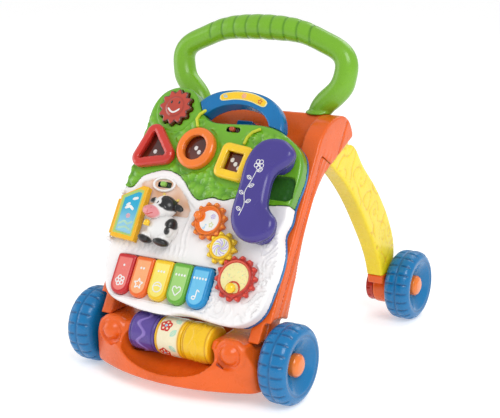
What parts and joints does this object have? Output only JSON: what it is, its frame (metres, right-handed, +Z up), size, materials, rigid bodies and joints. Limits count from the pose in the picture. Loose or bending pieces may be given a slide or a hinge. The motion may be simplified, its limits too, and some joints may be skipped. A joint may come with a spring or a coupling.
{
  "type": "baby walker",
  "caption": "Push-along baby walker on four wheels with a leaning frame, a bowed grip bar, a front roller drum and a lift-off activity panel of keys, gears and buttons.",
  "frame": {"origin": "on the floor, under the middle of the walker's box", "axes": "-Y to the front, where the activity panel faces and the toy rolls; +X to the right of somebody facing the panel; +Z up"},
  "size_m": [0.359, 0.503, 0.4845],
  "materials": {
    "lime_grip": "glossy lime-green moulded plastic",
    "orange_shell": "glossy orange moulded plastic",
    "yellow_shell": "glossy yellow moulded plastic",
    "blue_shell": "glossy blue moulded plastic",
    "red_shell": "glossy red moulded plastic",
    "green_shell": "glossy leaf-green moulded plastic",
    "white_shell": "off-white moulded plastic",
    "purple_shell": "glossy purple moulded plastic",
    "dark_lens": "dark see-through plastic",
    "steel": "bright drawn steel",
    "board": "green circuit board",
    "speaker_black": "black speaker cone and basket",
    "cell": "dry cells in a plain dark jacket"
  },
  "bodies": {
    "walker": {"frame_front": "orange_shell", "frame_rear": "orange_shell", "base": "orange_shell", "roller_shaft": "steel", "handle": "lime_grip", "leg_left": "yellow_shell", "leg_right": "yellow_shell", "foot_left": "orange_shell", "foot_right": "orange_shell", "front_axle": "steel", "rear_axles": "steel", "frame_screws": "steel"},
    "panel": {"panel_lower": "white_shell", "panel_upper": "green_shell", "panel_back": "blue_shell", "carry_handle": "blue_shell", "battery_door": "blue_shell", "circuit_board": "board", "speaker": "speaker_black", "batteries": "cell", "panel_screws": "steel", "bezel_triangle": "red_shell", "bezel_circle": "orange_shell", "bezel_square": "yellow_shell", "branches": "yellow_shell", "cow_body": "white_shell", "cow_head": "white_shell", "hinge_pins": "steel"},
    "latch": {"latch": "blue_shell"},
    "sun_button": {"sun_button": "red_shell"},
    "power_switch": {"power_switch": "red_shell"},
    "mode_switch": {"mode_switch": "red_shell"},
    "handset": {"handset": "purple_shell"},
    "door": {"door": "yellow_shell"},
    "button_triangle": {"button_triangle": "dark_lens"},
    "button_circle": {"button_circle": "dark_lens"},
    "button_square": {"button_square": "dark_lens"},
    "key_red": {"key_red": "red_shell"},
    "key_orange": {"key_orange": "orange_shell"},
    "key_yellow": {"key_yellow": "yellow_shell"},
    "key_green": {"key_green": "green_shell"},
    "key_blue": {"key_blue": "blue_shell"},
    "gear_orange": {"gear_orange": "orange_shell", "gear_knob_orange": "orange_shell"},
    "gear_yellow": {"gear_yellow": "yellow_shell"},
    "gear_red": {"gear_red": "red_shell", "gear_knob_red": "yellow_shell"},
    "speed_knob_left": {"speed_knob_left": "red_shell"},
    "wheel_front_left": {"tyre_front_left": "blue_shell", "hub_cap_front_left": "orange_shell"},
    "wheel_rear_left": {"tyre_rear_left": "blue_shell", "hub_cap_rear_left": "orange_shell"},
    "speed_knob_right": {"speed_knob_right": "red_shell"},
    "wheel_front_right": {"tyre_front_right": "blue_shell", "hub_cap_front_right": "orange_shell"},
    "wheel_rear_right": {"tyre_rear_right": "blue_shell", "hub_cap_rear_right": "orange_shell"},
    "roller_left": {"roller_left": "purple_shell"},
    "roller_middle": {"roller_middle": "yellow_shell"},
    "roller_right": {"roller_right": "yellow_shell"}
  },
  "joints": [
    {"name": "wheel_front_left_spin", "type": "hinge", "parent": "walker", "child": "wheel_front_left", "pos_m": [-0.1585, -0.1785, 0.054], "axis": [1, 0, 0], "continuous": true},
    {"name": "wheel_rear_left_spin", "type": "hinge", "parent": "walker", "child": "wheel_rear_left", "pos_m": [-0.1585, 0.1975, 0.054], "axis": [1, 0, 0], "continuous": true},
    {"name": "speed_knob_left_turn", "type": "hinge", "parent": "walker", "child": "speed_knob_left", "pos_m": [-0.1025, 0.1975, 0.048], "axis": [1, 0, 0], "range_deg": [0, 60]},
    {"name": "wheel_front_right_spin", "type": "hinge", "parent": "walker", "child": "wheel_front_right", "pos_m": [0.1585, -0.1785, 0.054], "axis": [1, 0, 0], "continuous": true},
    {"name": "wheel_rear_right_spin", "type": "hinge", "parent": "walker", "child": "wheel_rear_right", "pos_m": [0.1585, 0.1975, 0.054], "axis": [1, 0, 0], "continuous": true},
    {"name": "speed_knob_right_turn", "type": "hinge", "parent": "walker", "child": "speed_knob_right", "pos_m": [0.1025, 0.1975, 0.048], "axis": [1, 0, 0], "range_deg": [0, 60]},
    {"name": "roller_left_spin", "type": "hinge", "parent": "walker", "child": "roller_left", "pos_m": [-0.0436, -0.2055, 0.0706], "axis": [1, 0, 0], "continuous": true},
    {"name": "roller_middle_spin", "type": "hinge", "parent": "walker", "child": "roller_middle", "pos_m": [0, -0.2055, 0.0706], "axis": [1, 0, 0], "continuous": true},
    {"name": "roller_right_spin", "type": "hinge", "parent": "walker", "child": "roller_right", "pos_m": [0.0436, -0.2055, 0.0706], "axis": [1, 0, 0], "continuous": true},
    {"name": "panel_lift", "type": "slide", "parent": "walker", "child": "panel", "axis": [0, -0.848, 0.5299], "range_m": [0, 0.12]},
    {"name": "latch_slide", "type": "slide", "parent": "walker", "child": "latch", "axis": [0, 0.5299, 0.848], "range_m": [0, 0.0035], "stiffness_N_per_m": 150, "springref_m": -0.002},
    {"name": "sun_button_press", "type": "slide", "parent": "panel", "child": "sun_button", "axis": [0, 0.848, -0.5299], "range_m": [0, 0.0025], "stiffness_N_per_m": 300, "springref_m": -0.001},
    {"name": "button_triangle_press", "type": "slide", "parent": "panel", "child": "button_triangle", "axis": [0, 0.848, -0.5299], "range_m": [0, 0.0025], "stiffness_N_per_m": 300, "springref_m": -0.001},
    {"name": "button_circle_press", "type": "slide", "parent": "panel", "child": "button_circle", "axis": [0, 0.848, -0.5299], "range_m": [0, 0.0025], "stiffness_N_per_m": 300, "springref_m": -0.001},
    {"name": "button_square_press", "type": "slide", "parent": "panel", "child": "button_square", "axis": [0, 0.848, -0.5299], "range_m": [0, 0.0025], "stiffness_N_per_m": 300, "springref_m": -0.001},
    {"name": "power_switch_slide", "type": "slide", "parent": "panel", "child": "power_switch", "axis": [1, 0, 0], "range_m": [-0.0065, 0.0065]},
    {"name": "mode_switch_slide", "type": "slide", "parent": "panel", "child": "mode_switch", "axis": [1, 0, 0], "range_m": [-0.007, 0.007]},
    {"name": "handset_lift", "type": "slide", "parent": "panel", "child": "handset", "axis": [0, -0.848, 0.5299], "range_m": [0, 0.08]},
    {"name": "door_swing", "type": "hinge", "parent": "panel", "child": "door", "pos_m": [-0.131, -0.15921, 0.22039], "axis": [0, -0.5299, -0.848], "range_deg": [0, 100]},
    {"name": "gear_orange_spin", "type": "hinge", "parent": "panel", "child": "gear_orange", "pos_m": [0.024, -0.15605, 0.22431], "axis": [0, -0.848, 0.5299], "continuous": true},
    {"name": "gear_yellow_spin", "type": "hinge", "parent": "panel", "child": "gear_yellow", "pos_m": [0.0552, -0.17412, 0.19539], "axis": [0, -0.848, 0.5299], "continuous": true},
    {"name": "gear_red_spin", "type": "hinge", "parent": "panel", "child": "gear_red", "pos_m": [0.0891, -0.19384, 0.16384], "axis": [0, -0.848, 0.5299], "continuous": true},
    {"name": "key_red_press", "type": "hinge", "parent": "panel", "child": "key_red", "pos_m": [-0.0887, -0.1879, 0.16579], "axis": [-1, 0, 0], "range_deg": [0, 3.5], "stiffness_Nm_per_rad": 0.6, "springref_deg": -2.86},
    {"name": "key_orange_press", "type": "hinge", "parent": "panel", "child": "key_orange", "pos_m": [-0.0571, -0.1879, 0.16579], "axis": [-1, 0, 0], "range_deg": [0, 3.5], "stiffness_Nm_per_rad": 0.6, "springref_deg": -2.86},
    {"name": "key_yellow_press", "type": "hinge", "parent": "panel", "child": "key_yellow", "pos_m": [-0.0255, -0.1879, 0.16579], "axis": [-1, 0, 0], "range_deg": [0, 3.5], "stiffness_Nm_per_rad": 0.6, "springref_deg": -2.86},
    {"name": "key_green_press", "type": "hinge", "parent": "panel", "child": "key_green", "pos_m": [0.0061, -0.1879, 0.16579], "axis": [-1, 0, 0], "range_deg": [0, 3.5], "stiffness_Nm_per_rad": 0.6, "springref_deg": -2.86},
    {"name": "key_blue_press", "type": "hinge", "parent": "panel", "child": "key_blue", "pos_m": [0.0377, -0.1879, 0.16579], "axis": [-1, 0, 0], "range_deg": [0, 3.5], "stiffness_Nm_per_rad": 0.6, "springref_deg": -2.86}
  ],
  "couplings": [
    {"joint": "gear_yellow_spin", "follows": "gear_red_spin", "ratio": -1.4},
    {"joint": "gear_orange_spin", "follows": "gear_red_spin", "ratio": 1.1667}
  ]
}
